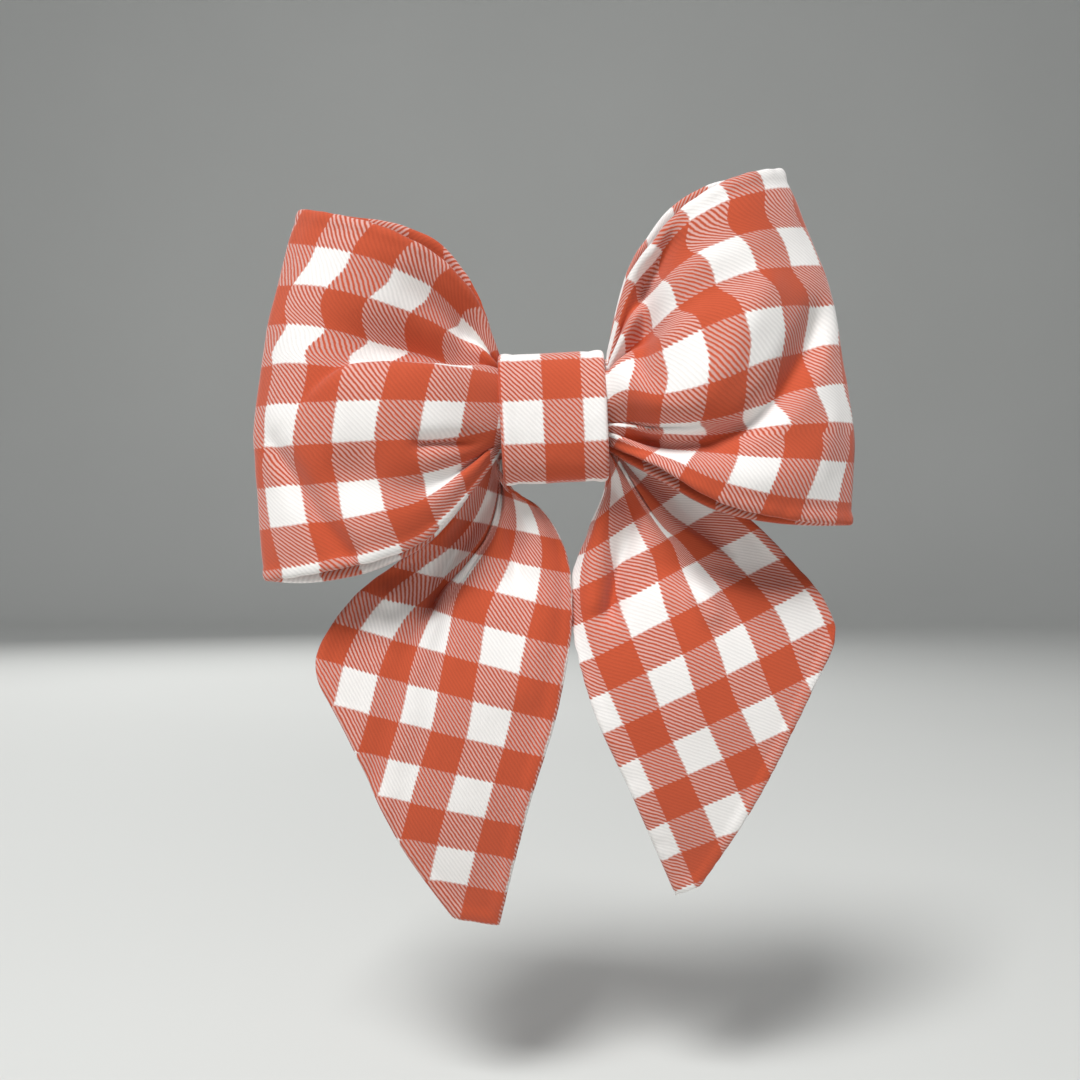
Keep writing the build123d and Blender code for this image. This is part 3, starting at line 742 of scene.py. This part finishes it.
class Nodes:
    """A material's node tree, with short ways to add and join its nodes."""

    def __init__(self, name):
        self.material = bpy.data.materials.new(name)
        self.material.use_nodes = True
        self.tree = self.material.node_tree
        self.shader = self.tree.nodes["Principled BSDF"]

    def add(self, kind, inputs=(), **settings):
        """Adds a node, sets its properties, and feeds its inputs by number or by name."""
        node = self.tree.nodes.new(kind)
        for key, value in settings.items():
            setattr(node, key, value)
        for key, value in dict(inputs).items():
            self.feed(node, key, value)
        return node

    def feed(self, node, key, value):
        """Links value to an input if it is a socket, and sets it there if it is a number."""
        if isinstance(value, bpy.types.NodeSocket):
            self.tree.links.new(value, node.inputs[key])
        else:
            node.inputs[key].default_value = value

    def math(self, operation, a, b=0.0, c=0.0):
        """The result of a Math node."""
        return self.add("ShaderNodeMath", {0: a, 1: b, 2: c}, operation=operation).outputs[0]

    def vector_math(self, operation, a, b, c=(0, 0, 0)):
        """The result of a Vector Math node."""
        inputs = {0: a, 1: b, 2: c}
        return self.add("ShaderNodeVectorMath", inputs, operation=operation).outputs[0]

    def blend(self, share, a, b):
        """A colour between a, where share is 0, and b, where it is 1."""
        node = self.add("ShaderNodeMix", data_type="RGBA")
        for key, value in ((0, share), (6, a), (7, b)):
            self.feed(node, key, value)
        return node.outputs[2]

    def space(self):
        """The object's own space, in metres."""
        return self.add("ShaderNodeTexCoord").outputs["Object"]

    def noise_at(self, vector, scale, detail):
        """A noise texture node that is read at a vector."""
        inputs = {"Vector": vector, "Scale": scale, "Detail": detail}
        return self.add("ShaderNodeTexNoise", inputs)

    def noise(self, size, detail=2.0):
        """Noise with bumps about size millimetres across, in the object's own space."""
        return self.noise_at(self.space(), 1 / (size * MM), detail).outputs["Fac"]

    def bump(self, height, distance):
        """Feeds the shader's normal from a height, distance millimetres deep."""
        node = self.add("ShaderNodeBump", {"Height": height, "Distance": distance * MM})
        self.feed(self.shader, "Normal", node.outputs["Normal"])

    def finish(self, **inputs):
        """Sets the shader's own inputs, spelled with _ for a space."""
        for key, value in inputs.items():
            self.feed(self.shader, key.replace("_", " "), value)
        return self.material


def linear(red, green, blue):
    """A colour given as it looks on a screen, from 0 to 255, as the shader's linear values."""
    return tuple(((c / 255 + 0.055) / 1.055) ** 2.4 for c in (red, green, blue)) + (1.0,)


RED = linear(201, 88, 54)
RED_DEEP = linear(184, 72, 40)
WHITE = linear(244, 243, 241)
WHITE_WARM = linear(238, 232, 228)


def wave(nodes, value, softness):
    """1 in the upper half of each whole step of value and 0 in the lower, softened."""
    triangle = nodes.math("PINGPONG", value, 0.5)
    rise = nodes.math("SUBTRACT", triangle, 0.25)
    step = nodes.math("MULTIPLY_ADD", rise, 1 / softness, 0.5)
    return nodes.add("ShaderNodeClamp", {0: step}).outputs[0]


def dyed_band(nodes, place, softness):
    """1 over odd checks of place and 0 over even ones."""
    shifted = nodes.math("MULTIPLY_ADD", place, 0.5, -0.25)
    return wave(nodes, shifted, softness)


def woven_place(nodes):
    """The place on the cloth in checks, from which the yarns wander a little."""
    place = nodes.add("ShaderNodeUVMap", uv_map=CLOTH_MAP).outputs["UV"]
    wander = nodes.noise_at(place, 6.0, 2.0).outputs["Color"]
    shift = nodes.vector_math("SUBTRACT", wander, (0.5, 0.5, 0.5))
    return nodes.vector_math("MULTIPLY_ADD", shift, (0.035, 0.035, 0.0), place)


def dye_share(nodes, u, v, twill):
    """How much red yarn shows: bands of it run each way, and the twill's ribs show one way's
    yarns and the gaps between them the other's."""
    lean = nodes.math("MULTIPLY_ADD", twill, 0.03, -0.015)
    warp = dyed_band(nodes, nodes.math("ADD", u, lean), 0.02)
    weft = dyed_band(nodes, nodes.math("SUBTRACT", v, lean), 0.02)
    differ = nodes.math("SUBTRACT", warp, weft)
    colour_share = nodes.math("MULTIPLY_ADD", twill, differ, weft)
    flecks = nodes.math("MULTIPLY", nodes.math("ABSOLUTE", differ), 0.6)
    pale_share = nodes.math("SUBTRACT", 1.0, colour_share)
    return nodes.math("MULTIPLY_ADD", pale_share, flecks, colour_share)


def gingham():
    """Yarn-dyed twill: coloured and plain bands each way, with diagonal ribs where they mix."""
    nodes = Nodes("gingham_twill")
    place = woven_place(nodes)
    parts = nodes.add("ShaderNodeSeparateXYZ", {0: place})
    u, v = parts.outputs[0], parts.outputs[1]
    diagonal = nodes.math("MULTIPLY", nodes.math("ADD", u, v), CHECK / STRIPE)
    twill = wave(nodes, diagonal, 0.24)

    fade = nodes.noise(38.0, 3.0)
    yarn_place = nodes.vector_math("MULTIPLY", place, (9.0, 60.0, 1.0))
    yarn = nodes.noise_at(yarn_place, 1.0, 2.0).outputs["Fac"]
    tone = nodes.math("MULTIPLY_ADD", yarn, 0.7, nodes.math("MULTIPLY", fade, 0.45))
    tone = nodes.math("SUBTRACT", tone, 0.1)
    red = nodes.blend(tone, RED_DEEP, RED)
    white = nodes.blend(tone, WHITE_WARM, WHITE)
    colour = nodes.blend(dye_share(nodes, u, v, twill), white, red)
    # Painted shade: the colour is a tenth darker in the grooves between the twill's ribs than on
    # the ribs.
    painted_groove_shade = nodes.math("MULTIPLY_ADD", twill, 0.10, 0.90)
    colour_with_painted_shade = nodes.add(
        "ShaderNodeVectorMath", {0: colour, "Scale": painted_groove_shade}, operation="SCALE"
    ).outputs[0]

    fine = wave(nodes, nodes.math("MULTIPLY", diagonal, 2.0), 0.5)
    fuzz = nodes.noise(0.35, 3.0)
    height = nodes.math("MULTIPLY_ADD", fuzz, 0.8, nodes.math("MULTIPLY", fine, 0.4))
    height = nodes.math("MULTIPLY_ADD", twill, 0.25, height)
    nodes.bump(height, 0.035)
    rough = nodes.math("MULTIPLY_ADD", yarn, 0.16, 0.76)
    return nodes.finish(
        Base_Color=colour_with_painted_shade, Roughness=rough, Sheen_Weight=0.25, Sheen_Roughness=0.5,
        Specular_IOR_Level=0.25,
    )


def stiffener():
    """Bonded interfacing: short pressed fibres."""
    nodes = Nodes("bonded_stiffener")
    fibres = nodes.noise(0.5, 4.0)
    colour = nodes.blend(fibres, linear(226, 224, 218), linear(246, 245, 241))
    nodes.bump(fibres, 0.06)
    return nodes.finish(Base_Color=colour, Roughness=0.92)


def sewing_thread():
    """Two-ply sewing thread with its twist, and painted shade in the grooves between its plies.
    """
    nodes = Nodes("sewing_thread")
    parts = nodes.add("ShaderNodeSeparateXYZ", {0: nodes.space()})
    sum_xz = nodes.math("ADD", parts.outputs[0], parts.outputs[2])
    twist = wave(nodes, nodes.math("MULTIPLY", sum_xz, 1 / (0.55 * MM)), 0.5)
    # Painted shade: the grooves between the plies are painted darker than the crests that the
    # bump lifts.
    colour = nodes.blend(twist, linear(205, 190, 180), linear(240, 232, 224))
    nodes.bump(twist, 0.08)
    return nodes.finish(Base_Color=colour, Roughness=0.6, Sheen_Weight=0.2)


def felt():
    """Pressed wool felt: matted fibres at two scales."""
    nodes = Nodes("pressed_felt")
    mat = nodes.noise(1.6, 5.0)
    fibres = nodes.noise(0.25, 4.0)
    tone = nodes.math("MULTIPLY_ADD", fibres, 0.6, nodes.math("MULTIPLY", mat, 0.4))
    colour = nodes.blend(tone, linear(205, 198, 186), linear(240, 235, 226))
    nodes.bump(tone, 0.25)
    return nodes.finish(Base_Color=colour, Roughness=0.95, Sheen_Weight=0.35)


def ribbon():
    """Grosgrain: ribs across the ribbon's length, with painted shade in the grooves between them.
    """
    nodes = Nodes("grosgrain_ribbon")
    along = nodes.add("ShaderNodeSeparateXYZ", {0: nodes.space()}).outputs[0]
    ribs = wave(nodes, nodes.math("MULTIPLY", along, 1 / (0.9 * MM)), 0.6)
    fine = nodes.noise(0.3, 3.0)
    # Painted shade: the grooves between the ribs are painted darker than the ribs that the bump
    # lifts.
    colour = nodes.blend(ribs, linear(222, 216, 208), linear(247, 244, 239))
    nodes.bump(nodes.math("MULTIPLY_ADD", fine, 0.3, ribs), 0.15)
    return nodes.finish(Base_Color=colour, Roughness=0.62, Sheen_Weight=0.3)


def glue():
    """Set hot-melt glue: cloudy, a little lumpy and soft to the light."""
    nodes = Nodes("hot_melt_glue")
    lumps = nodes.noise(2.4, 3.0)
    colour = nodes.blend(lumps, linear(222, 214, 192), linear(240, 234, 216))
    nodes.bump(lumps, 0.2)
    return nodes.finish(Base_Color=colour, Roughness=0.35, Subsurface_Weight=0.15)


def plated_steel():
    """Nickel-plated spring steel: fine rolling marks, smudges and small scuffs."""
    nodes = Nodes("plated_steel")
    drawn = nodes.vector_math("MULTIPLY", nodes.space(), (90.0, 1400.0, 2600.0))
    lines = nodes.noise_at(drawn, 1.0, 3.0).outputs["Fac"]
    smudge = nodes.noise(7.0, 3.0)
    scuffs = nodes.noise(0.8, 5.0)
    rough = nodes.math("MULTIPLY_ADD", smudge, 0.16, 0.13)
    rough = nodes.math("MULTIPLY_ADD", lines, 0.10, rough)
    colour = nodes.blend(scuffs, linear(176, 178, 182), linear(212, 213, 214))
    nodes.bump(lines, 0.02)
    return nodes.finish(Base_Color=colour, Metallic=1.0, Roughness=rough)


def plain_stage():
    """The pale floor and backdrop."""
    nodes = Nodes("pale_stage")
    mottle = nodes.noise(400.0, 2.0)
    colour = nodes.blend(mottle, linear(205, 206, 203), linear(212, 213, 210))
    return nodes.finish(Base_Color=colour, Roughness=0.9)


def dress(pieces, material):
    """Gives every piece one material."""
    for piece in pieces:
        piece.data.materials.clear()
        piece.data.materials.append(material)


CLOTH, STIFF, THREAD = gingham(), stiffener(), sewing_thread()
FELT, RIBBON, GLUE, STEEL = felt(), ribbon(), glue(), plated_steel()
dress([loop_outer, loop_lining, tail_front, tail_back, knot_band], CLOTH)
dress([loop_stiffener, tail_stiffener, knot_stay], STIFF)
dress([loop_seam, tail_seam, gather], THREAD)
dress([spring], STEEL)
for node, material in (
    ("band_closing_stitches", THREAD), ("glue_film", GLUE), ("felt_pad", FELT),
    ("clip_ribbon", RIBBON), ("clip_upper_lever", STEEL), ("clip_lower_lever", STEEL),
    ("clip_pivot_pin", STEEL),
):
    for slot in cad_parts[node].material_slots:
        slot.material = material

# ---- what each piece stands for ----------------------------------------------------------------

for piece, node, slot in (
    (loop_outer, "loop_strip_outer", "gingham_cloth"),
    (loop_lining, "loop_strip_lining", "gingham_cloth"),
    (loop_stiffener, "loop_interfacing", "stiffener"),
    (loop_seam, "loop_seam_thread", "sewing_thread"),
    (tail_front, "tail_strip_front", "gingham_cloth"),
    (tail_back, "tail_strip_back", "gingham_cloth"),
    (tail_stiffener, "tail_interfacing", "stiffener"),
    (tail_seam, "tail_seam_thread", "sewing_thread"),
    (knot_band, "knot_band_cover", "gingham_cloth"),
    (knot_stay, "knot_band_stay", "stiffener"),
    (gather, "gather_thread", "sewing_thread"),
):
    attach(piece, "bow")
    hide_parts(node)
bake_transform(spring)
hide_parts("clip_spring")


# ---- stage, light and camera -------------------------------------------------------------------

FLOOR_Z = -0.165
BACKDROP_Y = 2.2
STAGE_BEND = 0.5  # the radius of the curve between the floor and the backdrop
LAMPS_AIM = (0, 0, -0.03)


def add_stage():
    """A floor that curves up into a backdrop well behind the bow."""
    turn = [
        (BACKDROP_Y - STAGE_BEND * (1 - sin(a)), FLOOR_Z + STAGE_BEND * (1 - cos(a)))
        for a in np.linspace(0, pi / 2, 12)
    ]
    profile = [(-3.0, FLOOR_Z)] + turn + [(BACKDROP_Y, 3.5)]
    points = np.array([[(x, y, z) for x in (-3.5, 3.5)] for y, z in profile]) / MM
    stage = new_mesh("stage_floor", points)
    dress([stage], plain_stage())


def add_light(name, place, size, power):
    """A soft square lamp that faces the bow."""
    lamp = bpy.data.lights.new(name, "AREA")
    lamp.size = size
    lamp.energy = power
    light = bpy.data.objects.new(name, lamp)
    light.location = place
    aim = Vector(LAMPS_AIM) - Vector(place)
    light.rotation_euler = aim.to_track_quat("-Z", "Y").to_euler()
    bpy.context.scene.collection.objects.link(light)


def add_world(strength):
    """Even pale light from all round."""
    world = bpy.data.worlds.new("studio")
    world.use_nodes = True
    background = world.node_tree.nodes["Background"]
    background.inputs["Color"].default_value = (0.93, 0.96, 1.0, 1)
    background.inputs["Strength"].default_value = strength
    bpy.context.scene.world = world


add_stage()
add_light("key_upper_left", (-0.34, -0.98, 1.28), 0.5, 31.0)
add_light("front_fill", (0.5, -1.2, -0.1), 0.9, 1.2)
add_light("back_fill", (-0.4, 1.1, 0.6), 0.8, 7.0)
add_world(0.175)

CAMERA = (-3.1, -300.0, -27.4)
camera_data = bpy.data.cameras.new("camera")
camera_data.sensor_width = 36.0
camera_data.lens = 41.9
camera_data.clip_start = 0.01
camera = bpy.data.objects.new("camera", camera_data)
camera.location = Vector(CAMERA) * MM
camera.rotation_euler = (pi / 2, 0, 0)
bpy.context.scene.collection.objects.link(camera)
bpy.context.scene.camera = camera
bpy.context.scene.view_settings.view_transform = "Standard"
